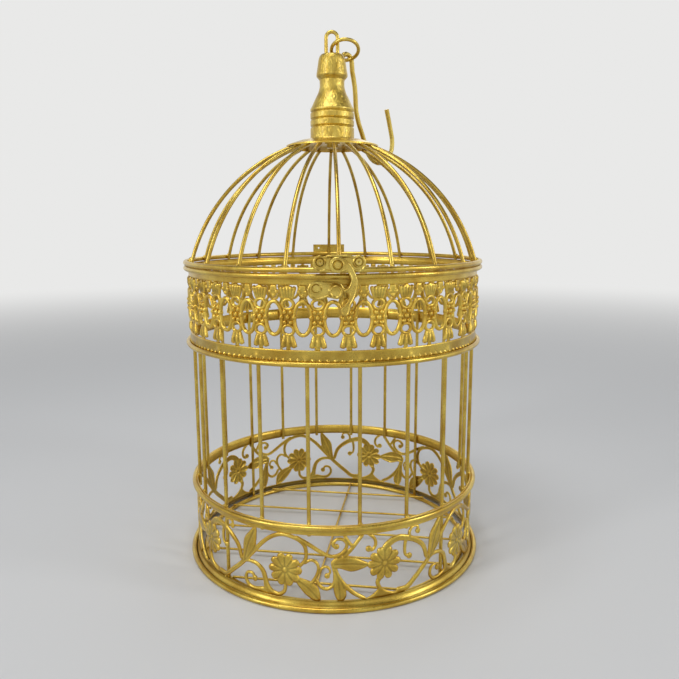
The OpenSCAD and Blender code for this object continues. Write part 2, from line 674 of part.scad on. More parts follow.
// Swing hook: an eye on the pivot, a bow to the right, a barb beside the keeper's stem
// and a thumb tab below it.
module latch_hook() color(pale_gold) translate([pivot_x, 0, pivot_z]) difference() {
    front_plate(hook_y0, hook_t) {
        polygon(loop_curve([[-4.6, 0], [-3.4, 3.3], [0, 4.5], [4, 3], [7.9, -0.9], [9.9, -5],
            [11.1, -9.1], [10.7, -14], [9.4, -18.2], [7.4, -22], [6.8, -25.1], [5.8, -27.3],
            [3.9, -28.4], [2, -27.3], [1.3, -25.2], [2, -23.2], [3.7, -21.8], [5.3, -19.5],
            [6.1, -16.9], [5.2, -15.5], [3.2, -14.9], [2.7, -13.7], [5.3, -12.5], [6.8, -9.9],
            [7, -7.6], [5.8, -4.8], [3.4, -3.8], [0, -4.5], [-3.4, -3.3]], 3));
    }
    front_pin(pivot_r + pivot_play, 0, 0, hook_y0 - 1, hook_y0 + hook_t + 1);
}

// ---- hanger ----

module hanging_ring() color(pale_gold) translate(ring_c) rotate([ring_lean - 90, 0, 0])
    rotate_extrude() translate([hang_ring_r, 0]) circle(r = loop_wire_r);

// Path of the hanging hook in its own plane, from the ring's wire: [outwards, up].
function hook_path() = let (c = [hook_reach, bend_cz - eye_c[2]], b = hook_bend_r, r = hook_crook_r)
    concat(
        [for (a = [140:-20:0]) [0, -crook_drop] + r * [cos(a), sin(a)]],
        curve([[r + 0.5, -6.5], [7.8, -16], [8.6, -24], [9.2, -32], [11.8, -40], [14.6, -45.5]], 2),
        [for (a = [200:16:360]) c + b * [cos(a), sin(a)]],
        [c + [b - 0.2, 4], c + [b - 2, 10], c + [b - 4.2, 17], c + [b - 6.6, 24]]);

function hook_3d(p) = eye_c + p[0] * hook_dir + [0, 0, p[1]];

// Round wire along a flat path: rings of points joined by faces.
module hook_sweep(p, r, sides) {
    m = len(p) - 1;
    side = cross(hook_dir, [0, 0, 1]);
    pts = [for (i = [0:m]) let (h = heading(p, i), n = [-h[1], h[0]])
        for (k = [0:sides - 1]) let (a = 360 * k / sides)
            hook_3d(p[i] + n * r * cos(a)) + side * r * sin(a)];
    walls = [for (i = [0:m - 1], k = [0:sides - 1]) let (a = i * sides, q = (k + 1) % sides)
        [a + k, a + q, a + sides + q, a + sides + k]];
    ends = [[for (k = [sides - 1:-1:0]) k], [for (k = [0:sides - 1]) m * sides + k]];
    polyhedron(pts, concat(walls, ends));
}

module hanging_hook() color(pale_gold) hook_sweep(hook_path(), hook_wire_r, 14);

foot_ring();
lower_band_rims();
lower_band_vines();
lower_band_ring();
floor_ring();
floor_wires();
floor_cross_wire();
short_bars();
long_bars();
mid_ring();
upper_band_rims();
upper_band_filigree();
body_rim_ring();
keeper_plate();
keeper_stud();
keeper_rivet();
hinge_body_leaf();
hinge_pin();
hinge_body_rivets();
lid_rim_ring();
dome_wires();
crown_cap();
finial();
eye_loop();
finial_screw();
screw_washer();
latch_plate();
latch_eyelets();
latch_pivot();
hinge_lid_leaf();
hinge_lid_eyelets();
latch_hook();
hanging_ring();
hanging_hook();
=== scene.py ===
"""Round bird-cage card box: gold-lacquered iron wire and pressed sheet, built piece by piece
in the order in which the cage is put together."""
import math

import bpy
import numpy as np
from mathutils import Matrix, Vector


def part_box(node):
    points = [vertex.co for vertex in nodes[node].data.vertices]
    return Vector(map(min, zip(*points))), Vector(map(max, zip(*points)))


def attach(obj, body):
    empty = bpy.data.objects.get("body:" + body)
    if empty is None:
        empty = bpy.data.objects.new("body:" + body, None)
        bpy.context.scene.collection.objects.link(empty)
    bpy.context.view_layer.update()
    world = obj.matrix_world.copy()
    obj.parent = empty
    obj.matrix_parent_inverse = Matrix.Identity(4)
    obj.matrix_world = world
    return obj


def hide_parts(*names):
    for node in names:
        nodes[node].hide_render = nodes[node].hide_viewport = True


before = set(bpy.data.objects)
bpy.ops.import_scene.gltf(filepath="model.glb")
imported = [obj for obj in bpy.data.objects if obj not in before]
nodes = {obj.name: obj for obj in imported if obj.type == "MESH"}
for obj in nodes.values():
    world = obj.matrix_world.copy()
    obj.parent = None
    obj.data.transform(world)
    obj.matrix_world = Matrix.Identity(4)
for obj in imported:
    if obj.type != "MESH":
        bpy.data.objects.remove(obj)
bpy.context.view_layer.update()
mm = 0.001  # in metres; sizes below are in mm unless they say otherwise

# ---------------------------------------------------------------- camera, floor and light
# A camera level with the foot of the dome, a pale round tabletop that fades into a white
# backdrop, and soft studio lamps: one above, two strips beside the cage and one behind.
camera_back, camera_up = 464.4 * mm, 229.7 * mm
camera_pitch, camera_yaw, camera_roll = 9.98, 0.533, -0.217  # degrees
front_turn = -2.0  # degrees from the latch round to the camera and to the bands' own front
sensor = 36.0
focal_pixels, frame_pixels = 664.1, 679.0  # the lens's focal length and the picture's width


def turn(degrees, axis):
    """A rotation about a world axis."""
    return Matrix.Rotation(math.radians(degrees), 4, axis)


camera_data = bpy.data.cameras.new("camera")
camera_data.sensor_width = sensor
camera_data.lens = focal_pixels / frame_pixels * sensor
camera = bpy.data.objects.new("camera", camera_data)
bpy.context.scene.collection.objects.link(camera)
camera.matrix_world = (
    turn(front_turn, "Z")
    @ Matrix.Translation((0, -camera_back, camera_up))
    @ turn(-camera_yaw, "Z")
    @ turn(90 - camera_pitch, "X")
    @ turn(camera_roll, "Z")
)
bpy.context.scene.camera = camera


def linear(hex_colour):
    """An sRGB hex colour as linear red, green, blue and alpha."""
    channels = [int(hex_colour[i : i + 2], 16) / 255 for i in (1, 3, 5)]
    return [c / 12.92 if c <= 0.04045 else ((c + 0.055) / 1.055) ** 2.4 for c in channels] + [1.0]


def add(tree, kind, settings=(), links=()):
    """Adds a node, sets its properties (such as operation) or the values of its sockets, and
    links sources to its sockets. A Mix node of colours takes them in sockets 6 and 7 and gives
    its result in output 2."""
    made = tree.nodes.new("ShaderNode" + kind)
    for key, value in dict(settings).items():
        if isinstance(key, str) and hasattr(made, key):
            setattr(made, key, value)
        else:
            made.inputs[key].default_value = value
    for key, source in dict(links).items():
        tree.links.new(source, made.inputs[key])
    return made


def new_material(name):
    """An empty material and its node tree."""
    made = bpy.data.materials.new(name)
    made.use_nodes = True
    tree = made.node_tree
    tree.nodes.clear()
    return made, tree


def new_object(name, verts, faces):
    """A smooth-shaded mesh object from points in metres."""
    mesh = bpy.data.meshes.new(name)
    mesh.from_pydata([tuple(v) for v in verts], [], [tuple(f) for f in faces])
    mesh.validate()
    mesh.polygons.foreach_set("use_smooth", [True] * len(mesh.polygons))
    made = bpy.data.objects.new(name, mesh)
    bpy.context.scene.collection.objects.link(made)
    return made


backdrop_white, backdrop_level = linear("#f4f4f3"), 0.9


def seen_directly(tree):
    """1 for a ray from the camera, or one that is mirrored or let through, so that all of them
    show the backdrop; 0 for a ray that lights a matt surface."""
    ray = add(tree, "LightPath").outputs
    mirrored = add(tree, "Math", {"operation": "MAXIMUM"},
                   {0: ray["Is Glossy Ray"], 1: ray["Is Transmission Ray"]})
    return add(tree, "Math", {"operation": "MAXIMUM"},
               {0: ray["Is Camera Ray"], 1: mirrored.outputs[0]}).outputs[0]


def stage_material(fade_start=0.5, fade_end=2.2):
    """Pale matt paint: an even grey-white that takes a soft shadow and mirrors nothing. Between
    the two distances, in metres, it fades into the backdrop's white."""
    made, tree = new_material("pale painted tabletop")
    here = add(tree, "TexCoord").outputs["Object"]
    away = add(tree, "VectorMath", {"operation": "LENGTH"}, {0: here}).outputs["Value"]
    fade = add(tree, "MapRange", {"interpolation_type": "SMOOTHSTEP", "From Min": fade_start,
                                  "From Max": fade_end}, {"Value": away})
    share = add(tree, "Math", {"operation": "MULTIPLY"}, {0: seen_directly(tree), 1: fade.outputs[0]})
    paint = add(tree, "BsdfPrincipled", {"Base Color": linear("#d9dadb"), "Roughness": 0.7})
    white = add(tree, "Emission", {"Color": backdrop_white, "Strength": backdrop_level})
    mix = add(tree, "MixShader", {}, {0: share.outputs[0], 1: paint.outputs[0], 2: white.outputs[0]})
    add(tree, "OutputMaterial", {}, {"Surface": mix.outputs[0]})
    return made


def tabletop(radius=3.2, sides=96):
    """A round tabletop, in metres, wide enough to reach past every view."""
    angles = [2 * math.pi * i / sides for i in range(sides)]
    rim = [(radius * math.cos(a), radius * math.sin(a), 0) for a in angles]
    made = new_object("tabletop", rim, [range(sides)])
    made.data.materials.append(stage_material())


tabletop()


def lamp(name, size, power, place, target, shape_ratio=1.0):
    """A rectangular area lamp: its width in metres, its power in watts, where it stands, what it
    points at, and how many times its width it is high."""
    data = bpy.data.lights.new(name, "AREA")
    data.shape = "RECTANGLE"
    data.size, data.size_y = size, size * shape_ratio
    data.energy = power
    made = bpy.data.objects.new(name, data)
    bpy.context.scene.collection.objects.link(made)
    made.location = place
    aim = Vector(target) - Vector(place)
    made.rotation_euler = aim.to_track_quat("-Z", "Y").to_euler()


lamp("overhead softbox", 0.8, 9, (-0.25, -0.3, 1.5), (0, 0, 0.15))
lamp("left strip", 0.22, 5, (-1.1, -0.8, 0.8), (0, 0, 0.18), shape_ratio=3.5)
lamp("right strip", 0.22, 4, (1.2, -0.5, 0.7), (0, 0, 0.18), shape_ratio=3.5)
lamp("back softbox", 0.9, 2.5, (0.3, 1.2, 1.1), (0, 0, 0.2))

world = bpy.data.worlds.new("studio")
bpy.context.scene.world = world
world.use_nodes = True
sky = world.node_tree
sky.nodes.clear()
ray_up = add(sky, "SeparateXYZ", {}, {0: add(sky, "TexCoord").outputs["Generated"]}).outputs["Z"]
# What lights matt surfaces: a dim room, darker towards the floor.
room_share = add(sky, "MapRange", {"From Min": -0.3, "From Max": 0.9}, {"Value": ray_up})
room_colour = add(sky, "Mix", {"data_type": "RGBA", 6: linear("#3a3836"), 7: linear("#e9ebee")},
                  {0: room_share.outputs[0]})
room = add(sky, "Background", {"Strength": 0.35}, {"Color": room_colour.outputs[2]})
# What is seen and mirrored: a white backdrop all round that greys overhead, above every view, so
# that the metal mirrors a light side and a darker one.
overhead_share = add(sky, "MapRange", {"From Min": 0.34, "From Max": 0.8}, {"Value": ray_up})
backdrop_colour = add(sky, "Mix", {"data_type": "RGBA", 6: backdrop_white, 7: linear("#5a5856")},
                      {0: overhead_share.outputs[0]})
backdrop = add(sky, "Background", {"Strength": backdrop_level},
               {"Color": backdrop_colour.outputs[2]})
either = add(sky, "MixShader", {}, {0: seen_directly(sky), 1: room.outputs[0],
                                    2: backdrop.outputs[0]})
add(sky, "OutputWorld", {}, {"Surface": either.outputs[0]})
bpy.context.scene.view_settings.view_transform = "Standard"


# ---------------------------------------------------------------- foot ring and rim wires
# Iron wire 3.2 mm thick, bent into rings and butt-welded, then sprayed with the gold lacquer that
# covers the whole cage.
def gold_lacquer(name, bright, deep, roughness, grit_mm, grit_depth_mm, blotch_mm=14, painted_edge_light_and_crease_shade=0.0,
                 drawn=1.0):
    """Gold spray lacquer: metal flake in a clear binder, so it mirrors softly, like a metal under
    a thin coat. It dried cloudy, paler and deeper over patches of blotch_mm, and slightly gritty.
    The argument after blotch_mm sets how much paler the high edges and darker the creases are
    painted: a painted highlight and painted shade that bring out the relief. A drawn value below 1
    stretches the grit upwards. Real flake is about 0.05 mm, too fine to show, so the grit is drawn
    ten times as coarse or more."""
    made, tree = new_material(name)
    where = add(tree, "VectorMath", {"operation": "MULTIPLY", 1: (1, 1, drawn)},
                {0: add(tree, "TexCoord").outputs["Object"]}).outputs[0]
    cloud = add(tree, "TexNoise", {"Scale": 1 / (blotch_mm * mm), "Detail": 3.0}, {0: where})
    grit = add(tree, "TexNoise", {"Scale": 1 / (grit_mm * mm), "Detail": 2.0}, {0: where})
    # the cloud's noise stays near its middle value, so the two colours stand close to it
    tone = add(tree, "ValToRGB", {}, {0: cloud.outputs[0]})
    for stop, position, shade in zip(tone.color_ramp.elements, (0.32, 0.68), (deep, bright)):
        stop.position, stop.color = position, linear(shade)
    speck = add(tree, "MapRange", {"From Min": 0.35, "From Max": 0.65, "To Min": 0.92,
                                   "To Max": 1.06}, {"Value": grit.outputs[0]})
    colour = add(tree, "VectorMath", {"operation": "SCALE"},
                 {0: tone.outputs[0], "Scale": speck.outputs[0]})
    rough = add(tree, "MapRange", {"From Min": 0.3, "From Max": 0.7, "To Min": roughness - 0.06,
                                   "To Max": roughness + 0.08}, {"Value": grit.outputs[0]})
    bump = add(tree, "Bump", {"Strength": 0.6, "Distance": grit_depth_mm * mm},
               {"Height": grit.outputs[0]})
    # painted highlight and painted shade: a pointiness of 0.5 is flat, the edges above it are painted
    # paler and the creases below it painted darker
    ridge = add(tree, "MapRange", {"From Min": 0.47, "From Max": 0.54, "To Min": 1 - painted_edge_light_and_crease_shade,
                                   "To Max": 1 + painted_edge_light_and_crease_shade * 0.6},
                {"Value": add(tree, "NewGeometry").outputs["Pointiness"]})
    shaded = add(tree, "VectorMath", {"operation": "SCALE"},
                 {0: colour.outputs[0], "Scale": ridge.outputs[0]})
    skin = add(tree, "BsdfPrincipled", {"Metallic": 0.92, "Coat Weight": 0.35,
                                        "Coat Roughness": 0.22},
               {"Base Color": shaded.outputs[0], "Roughness": rough.outputs[0],
                "Normal": bump.outputs[0]})
    add(tree, "OutputMaterial", {}, {"Surface": skin.outputs[0]})
    return made


def dress(material, *names):
    """Gives CAD nodes their finish."""
    for name in names:
        mesh = nodes[name].data
        mesh.materials.clear()
        mesh.materials.append(material)
        mesh.polygons.foreach_set("material_index", [0] * len(mesh.polygons))


# On smooth drawn wire the lacquer lies even: a long soft streak of light with hardly any grit.
rim_lacquer = gold_lacquer("gold spray lacquer on rim wire", "#dfc358", "#c09a34",
                           roughness=0.3, grit_mm=0.5, grit_depth_mm=0.03)
dress(rim_lacquer, "foot_ring", "lower_band_ring", "mid_ring", "body_rim_ring", "lid_rim_ring")
wire_r = 1.6


def ring_radius(node):
    """Radius of a CAD ring of rim wire, to the middle of its wire, in mm."""
    low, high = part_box(node)
    return (high.x - low.x) / 2 / mm - wire_r


# ---------------------------------------------------------------- lower band, pierced vines
# Iron sheet 0.8 mm thick, pierced and pressed from the back so that stems and leaves stand up
# in soft relief, rolled into a hoop and lacquered. The pattern repeats five times.
def place_round(radius):
    """Where a point of a flat pattern goes when the sheet is rolled to this radius."""
    def place(x, z, h):
        a = x / radius
        r = radius + h
        return np.stack([r * np.sin(a), -r * np.cos(a), z], -1) * mm
    return place


def join_corners(keep, closed):
    """Fills a third cell where two kept cells meet only at a corner, so that no point is pinched."""
    east = np.roll(keep, -1, 1)
    if not closed:
        east[:, -1] = False
    up, up_east = np.roll(keep, -1, 0), np.roll(east, -1, 0)
    up[-1] = up_east[-1] = False
    keep = keep | (~keep & east & up & ~up_east)
    fill = np.roll(keep & up_east & ~east & ~up, 1, 1)
    if not closed:
        fill[:, 0] = False
    return keep | fill


def cells_meeting(keep, closed):
    """How many kept cells meet at each point of the grid."""
    rows, columns = keep.shape
    count = np.zeros((rows + 1, columns + (0 if closed else 1)), int)
    for dz in (0, 1):
        for dx in (0, 1):
            if closed:
                count[dz:dz + rows] += np.roll(keep, dx, 1)
            else:
                count[dz:dz + rows, dx:dx + columns] += keep
    return count


def slide_to_outline(field, grid_x, grid_z, border, step_x, step_z):
    """Moves the border's points onto the pattern's true outline, each by less than a cell. The
    pattern's slope is measured over a probe's length, and taken as no flatter than least."""
    probe, pace, reach, steps, least = 0.05, 0.8, 0.75, 4, 0.25
    px, pz = grid_x.copy(), grid_z.copy()
    for _ in range(steps):
        d = field(px, pz)[0]
        gx = (field(px + probe, pz)[0] - field(px - probe, pz)[0]) / (2 * probe)
        gz = (field(px, pz + probe)[0] - field(px, pz - probe)[0]) / (2 * probe)
        size = np.maximum(gx ** 2 + gz ** 2, least)
        px = np.where(border, px - pace * d * gx / size, px)
        pz = np.where(border, pz - pace * d * gz / size, pz)
        px = np.clip(px, grid_x - reach * step_x, grid_x + reach * step_x)
        pz = np.clip(pz, grid_z - reach * step_z, grid_z + reach * step_z)
    return px, pz


def sheet_faces(kept, closed):
    """The outer faces, the inner faces, whose points are numbered after all the outer ones, and
    the walls between them wherever a kept cell has no neighbour."""
    rows, columns = kept.shape
    number = np.arange((rows + 1) * (columns + (0 if closed else 1))).reshape(rows + 1, -1)
    row, column = np.nonzero(kept)
    after = (column + 1) % number.shape[1]
    a, b = number[row, column], number[row, after]
    c, d = number[row + 1, after], number[row + 1, column]
    faces = [np.stack([a, b, c, d], 1), np.stack([d, c, b, a], 1) + number.size]
    padded = np.pad(kept, 1)
    if closed:
        padded[:, 0], padded[:, -1] = padded[:, -2], padded[:, 1]
    for down, across, p, q in ((-1, 0, a, b), (1, 0, c, d), (0, -1, d, a), (0, 1, b, c)):
        bare = ~padded[row + 1 + down, column + 1 + across]
        p, q = p[bare], q[bare]
        faces.append(np.stack([p, p + number.size, q + number.size, q], 1))
    return np.concatenate(faces)


def pressed_sheet(name, field, width, columns, z0, z1, rows, thick, place, repeats=1, start=0.0,
                  closed=True):
    """Mesh of a pierced, pressed sheet. field(x, z) gives signed distance and relief in mm for
    one repeat; closed says that the repeats run round and join. Cells inside the pattern are
    kept, and the points on their border slide onto its outline."""
    step_x, step_z = width / columns, (z1 - z0) / rows
    xs = np.arange(columns + (0 if closed else 1)) * step_x
    zs = z0 + np.arange(rows + 1) * step_z
    middles = np.meshgrid((np.arange(columns) + 0.5) * step_x, zs[:-1] + step_z / 2)
    keep = field(*middles)[0] < 0
    for _ in range(2):
        keep = join_corners(keep, closed)
    meeting = cells_meeting(keep, closed)
    border = (meeting > 0) & (meeting < 4)
    border[0] = border[-1] = False
    px, pz = slide_to_outline(field, *np.meshgrid(xs, zs), border, step_x, step_z)
    pz = np.clip(pz, z0, z1)
    relief = field(px, pz)[1]
    all_x = np.concatenate([px + i * width for i in range(repeats)], 1) + start
    all_z, all_h = np.tile(pz, (1, repeats)), np.tile(relief, (1, repeats))
    points = np.concatenate([place(all_x, all_z, all_h).reshape(-1, 3),
                             place(all_x, all_z, all_h - thick).reshape(-1, 3)])
    used, faces = np.unique(sheet_faces(np.tile(keep, (1, repeats)), closed), return_inverse=True)
    return new_object(name, points[used], faces.reshape(-1, 4).tolist())


def spline(points, steps=5):
    """Smooth open curve through the points."""
    p = np.array([points[0]] + list(points) + [points[-1]], float)
    t = np.arange(steps)[:, None] / steps
    spans = [
        0.5 * (2 * b + (c - a) * t + (2 * a - 5 * b + 4 * c - d) * t ** 2
               + (3 * b - a - 3 * c + d) * t ** 3)
        for a, b, c, d in zip(p, p[1:], p[2:], p[3:])
    ]
    return np.concatenate(spans + [p[-1:]])


def closed_spline(points, steps=3):
    """Smooth closed curve through the points."""
    p = [points[-1]] + list(points) + [points[0], points[1]]
    return spline(p, steps)[steps:-steps - 1]


far = 1e3  # mm, a distance larger than any in a pattern


def stroke_distance(x, z, points, w0, w1):
    """Signed distance to a stroke whose width runs from w0 to w1, negative inside."""
    best = np.full(x.shape, far)
    p = np.array(points)
    count = len(p) - 1
    for i in range(count):
        (ax, az), (bx, bz) = p[i], p[i + 1]
        dx, dz = bx - ax, bz - az
        t = np.clip(((x - ax) * dx + (z - az) * dz) / max(dx * dx + dz * dz, 1e-9), 0, 1)
        half = (w0 + (w1 - w0) * (i + t) / count) / 2
        best = np.minimum(best, np.hypot(x - ax - t * dx, z - az - t * dz) - half)
    return best


def outline_distance(x, z, points):
    """Signed distance to a closed outline, negative inside."""
    best, inside = np.full(x.shape, far), np.zeros(x.shape, bool)
    p = np.array(points)
    for (ax, az), (bx, bz) in zip(p, np.roll(p, -1, 0)):
        dx, dz = bx - ax, bz - az
        t = np.clip(((x - ax) * dx + (z - az) * dz) / max(dx * dx + dz * dz, 1e-9), 0, 1)
        best = np.minimum(best, np.hypot(x - ax - t * dx, z - az - t * dz))
        crossing = ((az > z) != (bz > z)) & (x < (bx - ax) * (z - az) / (bz - az + 1e-12) + ax)
        inside ^= crossing
    return np.where(inside, -best, best)


def nearby(measure, x, z, points, *sizes):
    """A distance that is worked out only within reach of its points, in mm, where it matters."""
    p, reach = np.array(points), 5.0
    close = ((x > p[:, 0].min() - reach) & (x < p[:, 0].max() + reach)
             & (z > p[:, 1].min() - reach) & (z < p[:, 1].max() + reach))
    best = np.full(x.shape, far)
    if close.any():
        best[close] = measure(x[close], z[close], points, *sizes)
    return best


def swell(distance, width, height):
    """Soft relief that rises from the outline to its full height over this width."""
    t = np.clip(-distance / width, 0, 1)
    return height * np.sin(t * math.pi / 2)


# The bands' outer radius and gauge. Places in the vine are a length along the band, from the
# start of its repeat, and a height above the table.
sheet_out, sheet_thick = 98.4, 0.8
vine_repeats = 5
vine_width = 2 * math.pi * sheet_out / vine_repeats
vine_z0, vine_z1 = 5.4, 47.3
flower_a, flower_b, flower_size = (48.9, 24.0), (109.9, 27.7), 21.4
first_flower = -17.7  # degrees round the band from its own front
# How wide each part's rounded edge is and how high it stands, and the vein's width and depth.
stem_edge, stem_rise = 0.75, 0.5
leaf_edge, leaf_rise = 1.3, 0.65
root_edge, root_rise = 1.5, 0.35
vein_width, vein_depth = 0.6, 0.4
# Each stem: its points, its width at both ends, and the radius of a bud on its tip.
stems = [
    ([(-4, 8), (2, 8.2), (7.8, 12.7), (15.5, 19.3), (21.1, 24.9), (27.8, 32.1), (34.4, 39.3),
      (41.1, 44.3), (47.8, 46.4), (55.5, 44.9), (60.5, 41.6), (62.2, 36.6), (61.6, 31.6),
      (58.5, 27.5)], 3.2, 2, 0),
    ([(17, 24.5), (14.2, 32.4), (7.8, 38), (1.1, 41), (-5.6, 42), (-11.1, 39.3), (-15, 34)],
     2.6, 4.8, 0),
    ([(1, 41), (0, 35), (0.6, 30), (3.4, 28.6)], 2.2, 1.5, 1.9),
    ([(3.9, 40.4), (3.4, 44.3), (6, 47.4), (9.6, 46.4), (9.6, 43.4)], 1.9, 1.3, 1.7),
    ([(18.9, 22.7), (23.3, 24.2), (28.9, 23.6), (33.3, 20.4), (35.3, 14.9), (36, 10)], 1.8, 3.6, 0),
    ([(33, 8), (27.8, 6.8), (23, 7.6), (20.4, 11.4), (21.6, 15.6), (25.5, 16.4), (27.5, 13.4)],
     2.6, 1.5, 1.9),
    ([(35.6, 13), (37.6, 9.6), (41, 7.2), (45, 7), (48.4, 10), (48.9, 15)], 3, 2, 0),
    ([(65.5, 17), (68.3, 21.6), (69.6, 26.6), (68.3, 30.2), (65, 31.6), (61.5, 29.5)], 2, 1.6, 0),
    ([(68.6, 18.4), (71, 14.6), (74.6, 13.4), (78, 15.6), (80, 20)], 1.9, 2.2, 0),
    ([(70, 24), (72.2, 27.2), (75.2, 27.4), (76.6, 24.4), (74.8, 21.8)], 1.7, 1.3, 1.7),
    ([(56.6, 45.2), (63.3, 41.8), (70, 37.6), (75.5, 34.8), (79.3, 34.4), (83, 35.8), (86, 39),
      (86.4, 42.7), (83.7, 45.2), (80.4, 45), (78.4, 42.6)], 2.5, 1.6, 0),
    ([(80.4, 45), (78.2, 43.2), (78.6, 40.8), (80.4, 40.6)], 1.6, 1.4, 1.7),
    ([(85, 34), (90.4, 40), (96.4, 48)], 2.5, 2.1, 0),
    ([(84.9, 48), (88, 43), (90.4, 40)], 2, 2, 0),
    ([(99.5, 48), (103.4, 44.3), (104.2, 40), (102, 37), (99.9, 38)], 2.1, 1.6, 1.9),
    ([(78.6, 30), (80, 24), (83.7, 17.6), (90.4, 10.6), (97, 6.4)], 3.3, 2.3, 0),
    ([(107.4, 19), (105.6, 15.4), (107.4, 11)], 2.8, 2.4, 0),
]
# Each leaf: its outline, and its vein from foot to tip.
leaves = [
    ([(18.5, 22), (19, 31), (20, 38.2), (24, 43.5), (29.2, 48), (28.6, 36), (25, 29)],
     [(20, 24), (23.6, 36), (28.4, 46)]),
    ([(54, 20), (60, 19), (66, 17), (69.8, 13), (70.4, 4.8), (64.4, 7), (59, 12)],
     [(55.5, 19), (63.5, 13.5), (70, 6)]),
    ([(78, 32), (84, 34.4), (90, 33.8), (96, 31), (100.4, 28), (95, 25.4), (89, 24.4),
      (82.6, 26.6), (78.4, 27)], [(79.5, 29.5), (90, 29.4), (99.4, 28)]),
    ([(79, 26), (78.4, 16), (79.4, 9), (82.6, 4.4), (86.4, 9), (84.4, 16)],
     [(81, 24), (82, 14), (82.6, 6)]),
]
# Roots: the webs that join the vine to the foot.
roots = [
    [(25, 4.6), (31, 7.6), (36, 9.4), (41, 6.6), (50, 4.6)],
    [(94, 4.6), (101, 7), (105, 10), (107.2, 13), (110, 10.2), (116, 7.4), (121, 7.6), (127, 4.6)],
]


def flower_field(x, z, centre, size):
    """Ten long petals with round tips about a small boss: signed distance and relief."""
    petals, petal_share = 10, 0.112
    petal_r = size * petal_share
    rim_rise, petal_rise, boss_rise, boss_r = 0.2, 0.85, 1.1, 2.1
    dx, dz = x - centre[0], z - centre[1]
    r, a = np.hypot(dx, dz), np.arctan2(dz, dx)
    step = 2 * math.pi / petals
    near = (a + step / 2) % step - step / 2
    along, across = r * np.cos(near), r * np.abs(np.sin(near))
    edge = np.hypot(np.maximum(along - size / 2 + petal_r, 0), across) - petal_r
    half = np.minimum(petal_r, along * math.tan(step / 2)) + 0.01
    petal = np.sqrt(np.clip(1 - (across / half) ** 2, 0, 1)) * np.clip((r - 1) / 3, 0, 1)
    rounded_tip = np.clip((0.3 - edge) / 1.2, 0, 1)
    boss = boss_rise * np.clip(1 - (r / boss_r) ** 2, 0, 1)
    return edge, np.maximum(rim_rise + petal_rise * petal * rounded_tip, boss)


def vine_field(x, z):
    """One repeat of the vine: signed distance and relief, in mm."""
    best, relief = np.full(x.shape, far), np.zeros(x.shape)
    for shift in (-vine_width, 0.0, vine_width):
        u = x + shift
        for points, w0, w1, bud in stems:
            d = nearby(stroke_distance, u, z, spline(points), w0, w1)
            if bud:
                end = points[-1]
                d = np.minimum(d, np.hypot(u - end[0], z - end[1]) - bud)
            relief = np.maximum(relief, swell(d, stem_edge, stem_rise))
            best = np.minimum(best, d)
        for outline, vein in leaves:
            d = nearby(outline_distance, u, z, closed_spline(outline))
            to_vein = nearby(stroke_distance, u, z, spline(vein), 0, 0)
            groove = vein_depth * np.exp(-((to_vein / vein_width) ** 2))
            # a stem that runs under a leaf still shows faintly in it
            under = 0.4 * relief
            relief = np.where(d < 0, np.maximum(under, swell(d, leaf_edge, leaf_rise) - groove),
                              relief)
            best = np.minimum(best, d)
        for outline in roots:
            d = nearby(outline_distance, u, z, spline(outline, 3))
            relief = np.maximum(relief, swell(d, root_edge, root_rise))
            best = np.minimum(best, d)
        for centre in (flower_a, flower_b):
            d, petals = flower_field(u, z, centre, flower_size)
            relief = np.where(d < 0.1, petals, relief)
            best = np.minimum(best, d)
    # the relief dies out where the sheet runs into its plain rims
    flat_margin = 1.2
    return best, relief * np.clip(np.minimum(z - vine_z0, vine_z1 - z) / flat_margin, 0, 1)


# On pressed sheet the lacquer is a little grittier, with a painted highlight along raised stems and
# petals and painted shade in the creases beside them, which is what makes the relief stand out.
sheet_lacquer = gold_lacquer("gold spray lacquer on pressed sheet", "#dcbf54", "#bb9530",
                             roughness=0.31, grit_mm=0.6, grit_depth_mm=0.1, painted_edge_light_and_crease_shade=0.35)
vine_start = math.radians(front_turn + first_flower) * sheet_out - flower_a[0]
vines = pressed_sheet("lower_vine_sheet", vine_field, vine_width, columns=240, z0=vine_z0,
                      z1=vine_z1, rows=80, thick=sheet_thick, place=place_round(sheet_out),
                      repeats=vine_repeats, start=vine_start)
vines.data.materials.append(sheet_lacquer)
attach(vines, "root")
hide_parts("lower_band_vines")


# ---------------------------------------------------------------- lower band, plain rims
# The same sheet, left plain: a strip along the top whose raw edge stands just above the rim
# wire, and a foot that flares out and lands on the foot ring.
def revolved(name, profile, segments=240, radius_wave=None):
    """Mesh turned from a closed profile of (radius, height) points, in mm. radius_wave(azimuth,
    height, radius) adds to the radius."""
    p = np.array(profile, float)
    count = len(p)
    a = np.arange(segments) * 2 * math.pi / segments
    wave = 0 if radius_wave is None else radius_wave(a[:, None], p[None, :, 1], p[None, :, 0])
    r = p[:, 0][None] + wave
    z = np.repeat(p[:, 1][None], segments, 0)
    verts = np.stack([r * np.sin(a)[:, None], -r * np.cos(a)[:, None], z], -1).reshape(-1, 3) * mm
    faces = []
    for i in range(segments):
        j = (i + 1) % segments
        for k in range(count):
            m = (k + 1) % count
            faces.append((i * count + k, j * count + k, j * count + m, i * count + m))
    return new_object(name, verts, faces)


eased = 0.25  # how far the edges of a plain strip are eased


def strip_profile(z0, z1, steps=5):
    """Section of a plain strip: outer face from z0 to z1 with eased edges, then the inner face."""
    outer, inner = sheet_out, sheet_out - sheet_thick
    face = [(outer, z0 + (z1 - z0) * i / steps) for i in range(1, steps)]
    return ([(inner, z0), (outer - eased, z0), (outer, z0 + eased)] + face
            + [(outer, z1 - eased), (outer - eased, z1), (inner + eased, z1), (inner, z1 - eased)])


